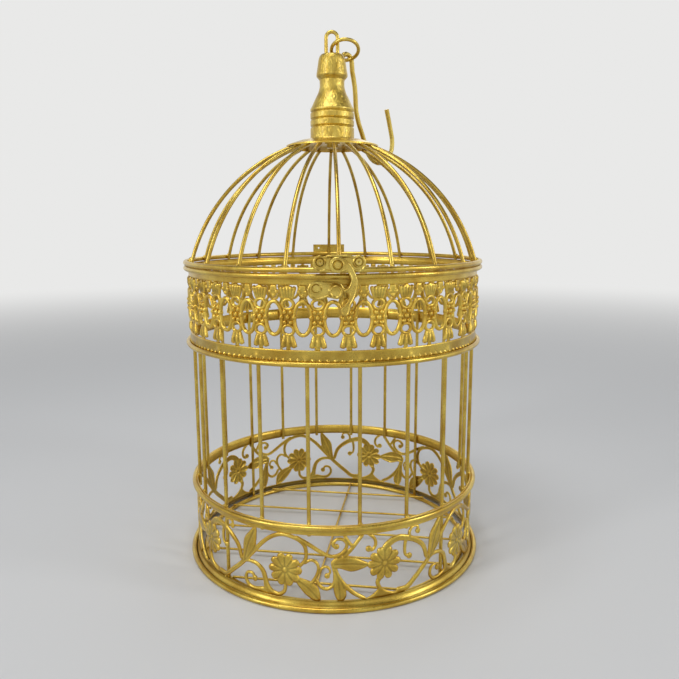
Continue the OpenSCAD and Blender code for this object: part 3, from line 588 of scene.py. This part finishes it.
foot_inner = ring_radius("foot_ring") - wire_r
flare_steps, flare_curve = 8, 2.4
flare = [(sheet_out + (foot_inner - sheet_out) * (i / flare_steps) ** flare_curve,
          vine_z0 - (vine_z0 - wire_r) * i / flare_steps) for i in range(flare_steps + 1)]
flare_section = flare + [(r - sheet_thick, z) for r, z in reversed(flare)]
low_rims = revolved("lower_rim_strips", flare_section)
low_top_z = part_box("lower_band_rims")[1].z / mm
low_top = revolved("lower_top_strip", strip_profile(vine_z1, low_top_z))
for piece in (low_rims, low_top):
    piece.data.materials.append(sheet_lacquer)
    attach(piece, "root")
    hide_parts("lower_band_rims")

# ---------------------------------------------------------------- floor
# Thin straight wires laid across a ring of rim wire and spot-welded to it, with one wire
# crossing below them. Lacquered with the rest.

# On thin wire the streak of light is narrow, over a slightly deeper gold than the rims'.
bar_lacquer = gold_lacquer("gold spray lacquer on thin wire", "#dcc058", "#b99430",
                           roughness=0.29, grit_mm=0.45, grit_depth_mm=0.03)
dress(rim_lacquer, "floor_ring")
dress(bar_lacquer, "floor_wires", "floor_cross_wire")


# ---------------------------------------------------------------- bars
# Straight iron wire 2.4 mm thick, welded inside both bands. Each weld is a small bead of
# metal that the lacquer has softened.
def ball(centre, radii, seed):
    """Points and faces of a small uneven weld bead, an ellipsoid with these half-axes."""
    rng = np.random.default_rng(seed)
    rings, sides, unevenness = 5, 8, 0.16
    verts, faces = [], []
    for i in range(rings + 1):
        t = math.pi * i / rings
        for k in range(sides):
            a = 2 * math.pi * k / sides
            swollen = 1 + unevenness * rng.uniform(-1, 1)
            verts.append(np.array(centre) + swollen * np.array(radii) * (
                math.sin(t) * math.cos(a), math.sin(t) * math.sin(a), math.cos(t)))
    for i in range(rings):
        for k in range(sides):
            a, b = i * sides + k, i * sides + (k + 1) % sides
            faces.append((a, a + sides, b + sides, b))
    return verts, faces


def beads(name, places, material, body):
    """One object of many weld beads: each place is an azimuth in degrees, then the radius and
    height at which the bead sits and its size, in mm."""
    verts, faces, upright = [], [], 1.25
    for seed, (azimuth, radius, height, size) in enumerate(places):
        a = math.radians(azimuth)
        centre = (radius * math.sin(a), -radius * math.cos(a), height)
        v, f = ball(centre, (size, size, size * upright), seed)
        faces += [tuple(i + len(verts) for i in face) for face in f]
        verts += v
    made = new_object(name, np.array(verts) * mm, faces)
    made.data.materials.append(material)
    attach(made, body)
    return made


dress(bar_lacquer, "short_bars", "long_bars")
bar_count, bar_r = 20, 1.2
bar_circle = sheet_out - sheet_thick - bar_r
bar_step = 360 / bar_count
bar_azimuths = [front_turn + bar_step * (i + 0.5) for i in range(bar_count)]
up_low_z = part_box("upper_band_rims")[0].z / mm
# Weld beads at the lower band's top edge and the upper band's bottom edge: how far outside the
# bars' circle and above that edge they sit, and their size.
low_weld, high_weld = (0.5, -0.4, 1.5), (0.6, 0.2, 1.4)
beads("bar_welds", [(a, bar_circle + out, edge + up, size)
                    for edge, (out, up, size) in ((low_top_z, low_weld), (up_low_z, high_weld))
                    for a in bar_azimuths], bar_lacquer, "root")

# ---------------------------------------------------------------- upper band, filigree
# The second pressed sheet: a chain of oval links tied by bead rosettes, with ribbed palmettes
# above and below. All of it is thin sheet pressed into round relief.
motif_count = 36
motif_width = 2 * math.pi * sheet_out / motif_count
up_high_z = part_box("upper_band_rims")[1].z / mm
low_strip_h, top_strip_h = 8.7, 5
filigree_z0, filigree_z1 = up_low_z + low_strip_h, up_high_z - top_strip_h
chain_share = 0.508  # how far up the filigree the chain of links runs
chain_z = filigree_z0 + chain_share * (filigree_z1 - filigree_z0)


def palmette(x, z, foot, top, ribs):
    """Ribbed bell: narrow at its foot on the chain, ending in a scalloped hem with a short stem
    that runs on into the rim strip at top. Signed distance and relief."""
    bell_h, scallop, length, stem_half, stem_foot = 6.5, 0.8, 7, 1.2, 5
    base_rise, rib_rise, plain_rise = 0.15, 0.95, 0.5
    t = (z - foot) / length
    half = np.interp(t, [0, 0.2, 0.75, 0.95, 1.1], [3.1, 3.6, 4.9, 5.0, 4.4])
    rib = np.abs(np.cos(np.clip(x / half, -1, 1) * ribs * math.pi / 2 + (ribs + 1) * math.pi / 2))
    hem = z - foot - bell_h - scallop * rib
    # the flanks slope, so their distance is a little less than the sideways one
    body = np.maximum(np.abs(x) - half, np.maximum(foot - z, hem)) * 0.85
    stem = np.maximum(np.abs(x) - stem_half, np.maximum(foot + stem_foot - z, z - top))
    flute = rib * np.clip(t * 2, 0.4, 1) * np.clip(-body / 0.7, 0, 1)
    relief = np.where(body < stem, base_rise + rib_rise * flute, plain_rise)
    return np.minimum(body, stem), relief


def ring_distance(x, z, a, b, wall):
    """Signed distance to a flat ring on an ellipse with half-axes a and b."""
    t = np.arctan2(z / b, x / a)
    reach = a * b / np.hypot(b * np.cos(t), a * np.sin(t))
    return np.abs(np.hypot(x / a, z / b) - 1) * reach - wall / 2


def bead_field(x, z, radius, height):
    """A domed bead: signed distance and relief."""
    r = np.hypot(x, z)
    return r - radius, height * np.clip(1 - (r / radius) ** 2, 0, 1)


# Half-axes and wall of the oval links and of the eyes above and below each rosette, how far the
# links hang below the chain's middle, and how far from it the eyes and the palmettes' feet stand.
link_a, link_b, link_wall, link_drop = 5.0, 9.5, 2.2, 0.6
eye_a, eye_b, eye_wall, eye_up, palmette_up = 3.3, 2.8, 1.8, 7.3, 10.3
# Rosette of pressed beads on a plain disk: places and radii.
rosette = [(0, 0, 1.7), (-3.7, 0, 1.6), (3.7, 0, 1.6), (-1.8, 2.9, 1.55), (1.8, 2.9, 1.55),
           (-1.8, -2.9, 1.55), (1.8, -2.9, 1.55)]
rosette_disk = (0, 0, 3.4)
# Cluster of three beads over each link: the way out from the link's middle, the height over the
# chain, and the radius of the sheet under each bead. A stem hangs it from the top strip.
cluster = [(0, 12.2, 1.4), (2.0, 14.4, 1.3)]
cluster_stem_out, cluster_stem_half, cluster_stem_end = 0.9, 1.1, 25


def motif_field(x, z):
    """One repeat of the filigree, from the middle of one link to the middle of the next."""
    half = motif_width / 2
    u = (x % motif_width) - half
    v = z - chain_z
    best, relief = np.full(x.shape, far), np.zeros(x.shape)

    def lay(d, h):
        """Adds a shape by its signed distance and relief."""
        nonlocal best, relief
        relief = np.where(d < 0, np.maximum(relief, h), relief)
        best = np.minimum(best, d)

    for side in (-1, 1):
        lay(ring_distance(u - side * half, v + link_drop, link_a, link_b, link_wall), 0.0)
    for bead_x, bead_z, radius in rosette + [rosette_disk]:
        lay(np.hypot(u - bead_x, v - bead_z) - radius, 0.1)
    for way, reach in ((-1, chain_z - filigree_z0), (1, filigree_z1 - chain_z)):
        w = v * way
        lay(ring_distance(u, w - eye_up, eye_a, eye_b, eye_wall), 0.0)
        lay(*palmette(u, w, palmette_up, reach + 0.5, 3 if way < 0 else 5))
    for side in (-1, 1):
        for out, up, radius in cluster:
            lay(*bead_field(u - side * (half - out), v - up, radius, 0.6))
        stem_side = np.abs(u - side * (half - cluster_stem_out)) - cluster_stem_half
        lay(np.maximum(stem_side, np.maximum(cluster[0][1] - v, v - cluster_stem_end)), 0.2)
    # the relief dies out where the sheet runs into its plain rims
    flat_margin = 0.9
    edge = np.minimum(z - filigree_z0, filigree_z1 - z)
    return best, relief * np.clip(edge / flat_margin, 0, 1)


sunk = 0.1  # how deep the edges of raised ridges and beads start below the sheet's face


def raised_rings(places, steps=28, across=5):
    """Half-round ridges pressed along ellipses. Each place is a length round the band, a height,
    two half-axes, a width and a rise, in mm."""
    points, faces = [], []
    for along, height, a, b, wall, rise in places:
        first = len(points)
        for i in range(steps):
            t = 2 * math.pi * i / steps
            lean = Vector((math.cos(t) / a, math.sin(t) / b)).normalized()
            for k in range(across):
                f = math.pi * k / (across - 1)
                off = wall / 2 * math.cos(f)
                points.append((along + a * math.cos(t) + lean.x * off,
                               height + b * math.sin(t) + lean.y * off, rise * math.sin(f) - sunk))
        for i in range(steps):
            here, after = first + i * across, first + (i + 1) % steps * across
            for k in range(across - 1):
                faces.append((here + k, after + k, after + k + 1, here + k + 1))
    return points, faces


def raised_beads(places, rings=4, sides=10):
    """Round beads pressed out of the band. Each place is a length round the band, a height, a
    radius and a rise, in mm."""
    points, faces = [], []
    for along, height, radius, rise in places:
        first = len(points)
        for i in range(rings):
            t = math.pi / 2 * i / rings
            for k in range(sides):
                a = 2 * math.pi * k / sides
                points.append((along + radius * math.cos(t) * math.cos(a),
                               height + radius * math.cos(t) * math.sin(a),
                               rise * math.sin(t) - sunk))
        points.append((along, height, rise - sunk))
        for k in range(sides):
            n = (k + 1) % sides
            for i in range(rings - 1):
                low, high = first + i * sides, first + (i + 1) * sides
                faces.append((low + k, low + n, high + n, high + k))
            top = first + (rings - 1) * sides
            faces.append((top + k, top + n, first + rings * sides))
    return points, faces


band_front = math.radians(front_turn) * sheet_out
filigree = pressed_sheet("upper_filigree_sheet", motif_field, motif_width, columns=30,
                         z0=filigree_z0, z1=filigree_z1, rows=66, thick=sheet_thick,
                         place=place_round(sheet_out), repeats=motif_count, start=band_front)
filigree.data.materials.append(sheet_lacquer)
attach(filigree, "root")
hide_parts("upper_band_filigree")

# The links' round backs and the beads stand proud of the sheet, finer than its grid can show.
link_rise, eye_rise, rosette_rise, cluster_rise, cluster_bead_r = 1.2, 0.9, 1.9, 1.0, 1.25
(_, cluster_low, _), (cluster_out, cluster_high, _) = cluster
ring_places, bead_places = [], []
for i in range(motif_count):
    middle_x = band_front + motif_width * (i + 0.5)
    ring_places.append((middle_x - motif_width / 2, chain_z - link_drop, link_a, link_b,
                        link_wall, link_rise))
    for way in (-1, 1):
        ring_places.append((middle_x, chain_z + way * eye_up, eye_a, eye_b, eye_wall, eye_rise))
    bead_places += [(middle_x + x, chain_z + z, r, rosette_rise) for x, z, r in rosette]
    for side, out, up in ((1, 0, cluster_low), (-1, cluster_out, cluster_high),
                          (1, cluster_out, cluster_high)):
        bead_places.append((middle_x + side * (motif_width / 2 - out), chain_z + up,
                            cluster_bead_r, cluster_rise))
ring_points, ring_faces = raised_rings(ring_places)
bead_points, bead_faces = raised_beads(bead_places)
shift = len(ring_points)
chain_points = place_round(sheet_out)(*np.array(ring_points + bead_points).T)
chain = new_object("filigree_links_and_beads", chain_points,
                   ring_faces + [tuple(i + shift for i in face) for face in bead_faces])
chain.data.materials.append(sheet_lacquer)
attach(chain, "root")

# ---------------------------------------------------------------- upper band, plain rims
# Plain strips of the same sheet. The lower one carries a row of small pressed beads, and
# spot welds to the bars show through it as bumps.
bead_pitch, bead_r, bead_rise = 4.3, 1.1, 0.8
bead_number = round(2 * math.pi * sheet_out / bead_pitch)
bead_z = up_low_z + 2.7
bump_half_w, bump_half_h, bump_rise, bump_over_beads = 1.8, 2.2, 0.5, 1


def bead_row(a, z, r):
    """Pressed beads, and lower, wider weld bumps at the bars, on the outer face only."""
    along = ((a * bead_number / (2 * math.pi)) % 1 - 0.5) * bead_pitch
    bead = np.clip(1 - (along ** 2 + (z - bead_z) ** 2) / bead_r ** 2, 0, 1) * bead_rise
    up = (z - bead_z - bump_over_beads) / bump_half_h
    bump = 0
    for azimuth in bar_azimuths:
        off = (a - math.radians(azimuth) + math.pi) % (2 * math.pi) - math.pi
        bump = bump + bump_rise * np.exp(-((off * sheet_out / bump_half_w) ** 2) - up ** 2)
    return np.where(r > sheet_out - 0.1, np.maximum(bead, bump), 0)


low_face = np.linspace(up_low_z + eased, filigree_z0 - eased, 18)
low_strip = ([(sheet_out - sheet_thick, up_low_z), (sheet_out - eased, up_low_z)]
             + [(sheet_out, z) for z in low_face]
             + [(sheet_out - eased, filigree_z0), (sheet_out - sheet_thick, filigree_z0)])
up_rims = revolved("upper_low_strip", low_strip, segments=1440, radius_wave=bead_row)
up_top = revolved("upper_top_strip", strip_profile(filigree_z1, up_high_z))
for piece in (up_rims, up_top):
    piece.data.materials.append(sheet_lacquer)
    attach(piece, "root")
    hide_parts("upper_band_rims")

# ---------------------------------------------------------------- dome wires and crown cap
# Twenty iron wires bent to one curve, welded inside the lid's rim wire and under a dished cap
# of pressed sheet. They have the bars' finish, and the cap has the bands'.
dress(bar_lacquer, "dome_wires")
dress(sheet_lacquer, "crown_cap")


def middle(node):
    """The middle of a CAD node's box, in mm."""
    low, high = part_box(node)
    return [(a + b) / 2 / mm for a, b in zip(low, high)]


# Weld beads just inside the lid's rim wire and above its middle.
dome_weld = 1.5
dome_weld_circle = ring_radius("lid_rim_ring") - wire_r - 0.4
dome_weld_z = middle("lid_rim_ring")[2] + 0.6
beads("dome_welds", [(bar_step * i, dome_weld_circle, dome_weld_z, dome_weld)
                     for i in range(bar_count)], bar_lacquer, "lid")

# ---------------------------------------------------------------- finial
# A turned metal knob with three cut grooves, screwed through the crown cap from inside and
# lacquered by hand with a brush.

# Brushed on thick, the lacquer has dried in a coarse skin: wide, broken highlights and clouds of
# deeper gold that run up and down with the brush.
finial_lacquer = gold_lacquer("gold lacquer brushed on turned metal", "#e2c860", "#bc9a38",
                              roughness=0.4, grit_mm=1.3, grit_depth_mm=0.9, blotch_mm=5,
                              drawn=0.5)
dress(finial_lacquer, "finial")

# ---------------------------------------------------------------- eye loop, ring and hook
# Iron wire bent cold: a staple driven into the finial, a ring closed with pliers, and a long
# hook with a curled eye. They hang loose in each other.

# On this smooth wire the lacquer looks brighter and paler than on the cage, and slightly gritty.
hanger_lacquer = gold_lacquer("gold lacquer on bent wire", "#e4ca66", "#c6a440",
                              roughness=0.30, grit_mm=0.6, grit_depth_mm=0.12)
dress(hanger_lacquer, "eye_loop", "hanging_ring", "hanging_hook")

# ---------------------------------------------------------------- latch, hinge and fasteners
# Stamped iron fittings, riveted on and lacquered over, so that rivets and plates share one skin:
# a latch plate and its swing hook on the lid, a keeper with a knob on the body, and the hinge.

# Smooth under the lacquer, they look paler than the bands, and cloudy over small patches.
fitting_lacquer = gold_lacquer("gold lacquer on stamped fittings", "#e2c964", "#c4a240",
                               roughness=0.30, grit_mm=0.6, grit_depth_mm=0.1, blotch_mm=9)
dress(fitting_lacquer, "keeper_plate", "keeper_stud", "keeper_rivet", "hinge_body_leaf",
      "hinge_pin", "hinge_body_rivets", "finial_screw", "screw_washer", "latch_plate",
      "latch_eyelets", "latch_pivot", "hinge_lid_leaf", "hinge_lid_eyelets", "latch_hook")


def place_front(x0, z0, front):
    """Where a point of a flat stamping goes: upright, its face this far in front of the axis."""
    def place(x, z, h):
        return np.stack([x + x0, -(front + h), z + z0], -1) * mm
    return place


plate_t, relief_h = 1.0, 0.55


def ridge_along(distance, width):
    """A soft ridge, as tall as 1, where the distance is 0."""
    return np.exp(-((distance / width) ** 2))


def ring_ridge(x, z, cx, cz, radius, width=0.45):
    """A raised circle, as tall as 1."""
    return ridge_along(np.hypot(x - cx, z - cz) - radius, width)


def embossed(d, height):
    """Relief of a plate: the tops of its ridges lie at the CAD plate's face and the rest lies
    below it, a little less so right at the edge."""
    edge_start, edge_width = 0.2, 0.3
    return relief_h * (height - 1) * np.clip((-d + edge_start) / edge_width, 0, 1)


def stamping(name, node, field, corner, width, height, cell, thick, place, body):
    """A stamped, embossed fitting that stands for a flat CAD plate. Its grid starts at this
    corner, and its cells are about cell mm wide."""
    made = pressed_sheet(name, lambda x, z: field(x + corner[0], z), width, round(width / cell),
                         corner[1], corner[1] + height, round(height / cell), thick, place,
                         start=corner[0], closed=False)
    made.data.materials.append(fitting_lacquer)
    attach(made, body)
    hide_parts(node)


plate_x, _, plate_z = middle("latch_plate")
plate_y = ring_radius("lid_rim_ring") + wire_r
plate_corner = [(0, 4.8), (5.3, 4.8), (8.1, 4.15), (11.1, 4.7), (13.9, 3), (14.6, 0)]
plate_half = plate_corner + [(x, -z) for x, z in reversed(plate_corner[:-1])]
plate_outline = closed_spline(plate_half + [(-x, z) for x, z in reversed(plate_half[1:-1])])
eyelet_x, eyelet_up, eyelet_hole, rivet_ridge = 10.6, 1.0, 1.2, 2.7


def plate_field(x, z):
    """Lid plate with two lobes: a raised border, and a ridge round each eyelet."""
    d = outline_distance(x, z, plate_outline)
    raised = ridge_along(d + 0.75, 0.5)
    for side in (-1, 1):
        d = np.maximum(d, eyelet_hole - np.hypot(x - side * eyelet_x, z - eyelet_up))
        raised = np.maximum(raised, ring_ridge(x, z, side * eyelet_x, eyelet_up, rivet_ridge))
    return d, embossed(d, raised)


stamping("latch_plate_stamping", "latch_plate", plate_field, corner=(-15.2, -5.4), width=30.4,
         height=10.8, cell=0.271, thick=plate_t,
         place=place_front(plate_x, plate_z, plate_y + plate_t), body="lid")

stud_x, _, stud_z = middle("keeper_stud")
keeper_front = -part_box("keeper_plate")[0].y / mm
# The keeper's points are measured from the knob's middle.
keeper_outline = closed_spline([
    (4.5, 0), (3.4, 3.5), (0.5, 4.9), (-3, 4.8), (-7, 5.1), (-11, 5.2), (-14.3, 3.6), (-15.7, 0),
    (-14.5, -3.6), (-11.6, -5.2), (-7.6, -4.9), (-4.6, -3.9), (-2, -4.3), (0.6, -4.8), (3.3, -3.7)])
rivet_x, rivet_up = -10.8, 1.2
curl_x, curl_up, curl_r, curl_foot = -6.2, 1.0, 3.0, -0.5
faint = 0.8  # how high the ridges inside the keeper stand beside its border


def keeper_field(x, z):
    """Keeper plate: a raised border, a curl beside the knob, and a ridge round the rivet."""
    d = outline_distance(x, z, keeper_outline)
    round_rivet = faint * ring_ridge(x, z, rivet_x, rivet_up, rivet_ridge)
    curl = faint * ring_ridge(x, z, curl_x, curl_up, curl_r) * (z > curl_foot)
    raised = np.maximum(np.maximum(ridge_along(d + 0.7, 0.45), round_rivet), curl)
    return d, embossed(d, raised)


stamping("keeper_plate_stamping", "keeper_plate", keeper_field, corner=(-16.6, -6), width=22,
         height=12, cell=0.25, thick=plate_t, place=place_front(stud_x, stud_z, keeper_front),
         body="root")

stud_low, stud_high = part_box("keeper_stud")
knob_front, stem_end = -stud_low.y / mm, (stud_high.y - stud_low.y) / mm
# The knob's face is dished, with a rolled rim; points give radius and depth from the front.
knob_profile = [(0.6, 0.75), (2.3, 0.72), (2.62, 0.55), (2.8, 0.2), (3.0, 0.03), (3.2, 0.05),
                (3.42, 0.25), (3.55, 0.65), (3.55, 1.6), (3.4, 2.0), (3.1, 2.15), (1.6, 2.2),
                (1.6, stem_end)]
knob_sides = 64
knob_angles = np.arange(knob_sides) * math.pi / (knob_sides / 2)
knob_points = [(stud_x + r * c, depth - knob_front, stud_z + r * s)
               for r, depth in knob_profile for c, s in zip(np.cos(knob_angles), np.sin(knob_angles))]
knob_faces = []
for first in range(0, (len(knob_profile) - 1) * knob_sides, knob_sides):
    for i in range(knob_sides):
        n = (i + 1) % knob_sides
        knob_faces.append([first + i, first + knob_sides + i, first + knob_sides + n, first + n])
knob_faces += [list(range(knob_sides)),
               [(len(knob_profile) - 1) * knob_sides + i for i in reversed(range(knob_sides))]]
knob = new_object("keeper_knob", np.array(knob_points) * mm, knob_faces)
knob.data.materials.append(fitting_lacquer)
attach(knob, "root")
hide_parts("keeper_stud")

pivot_x, _, pivot_z = middle("latch_pivot")
hook_low, hook_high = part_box("latch_hook")
hook_front, hook_t = -hook_low.y / mm, (hook_high.y - hook_low.y) / mm
# The hook's points are measured from its pivot.
hook_outline = closed_spline([
    (-4.6, 0), (-3.4, 3.3), (0, 4.5), (4, 3), (7.9, -0.9), (9.9, -5), (11.1, -9.1), (10.7, -14),
    (9.4, -18.2), (7.4, -22), (6.8, -25.1), (5.8, -27.3), (3.9, -28.4), (2, -27.3), (1.3, -25.2),
    (2, -23.2), (3.7, -21.8), (5.3, -19.5), (6.1, -16.9), (5.2, -15.5), (3.2, -14.9),
    (2.7, -13.7), (5.3, -12.5), (6.8, -9.9), (7, -7.6), (5.8, -4.8), (3.4, -3.8), (0, -4.5),
    (-3.4, -3.3)], 4)
hook_edge, hook_rise, hook_ridge, hook_hole = 0.4, 0.35, 0.35, 1.55
hook_relief = hook_rise + hook_ridge


def hook_field(x, z):
    """Swing hook: eased edges, a fine raised border and a ridge round the rivet."""
    d = outline_distance(x, z, hook_outline)
    ridge = np.maximum(ridge_along(d + 0.65, 0.35), ring_ridge(x, z, 0, 0, 3.0, width=0.35))
    height = swell(d, hook_edge, hook_rise) + hook_ridge * ridge
    return np.maximum(d, hook_hole - np.hypot(x, z)), height - hook_relief


stamping("latch_hook_casting", "latch_hook", hook_field, corner=(-5.5, -29.5), width=17.5,
         height=35, cell=0.208, thick=hook_t - hook_relief,
         place=place_front(pivot_x, pivot_z, hook_front), body="latch_hook")
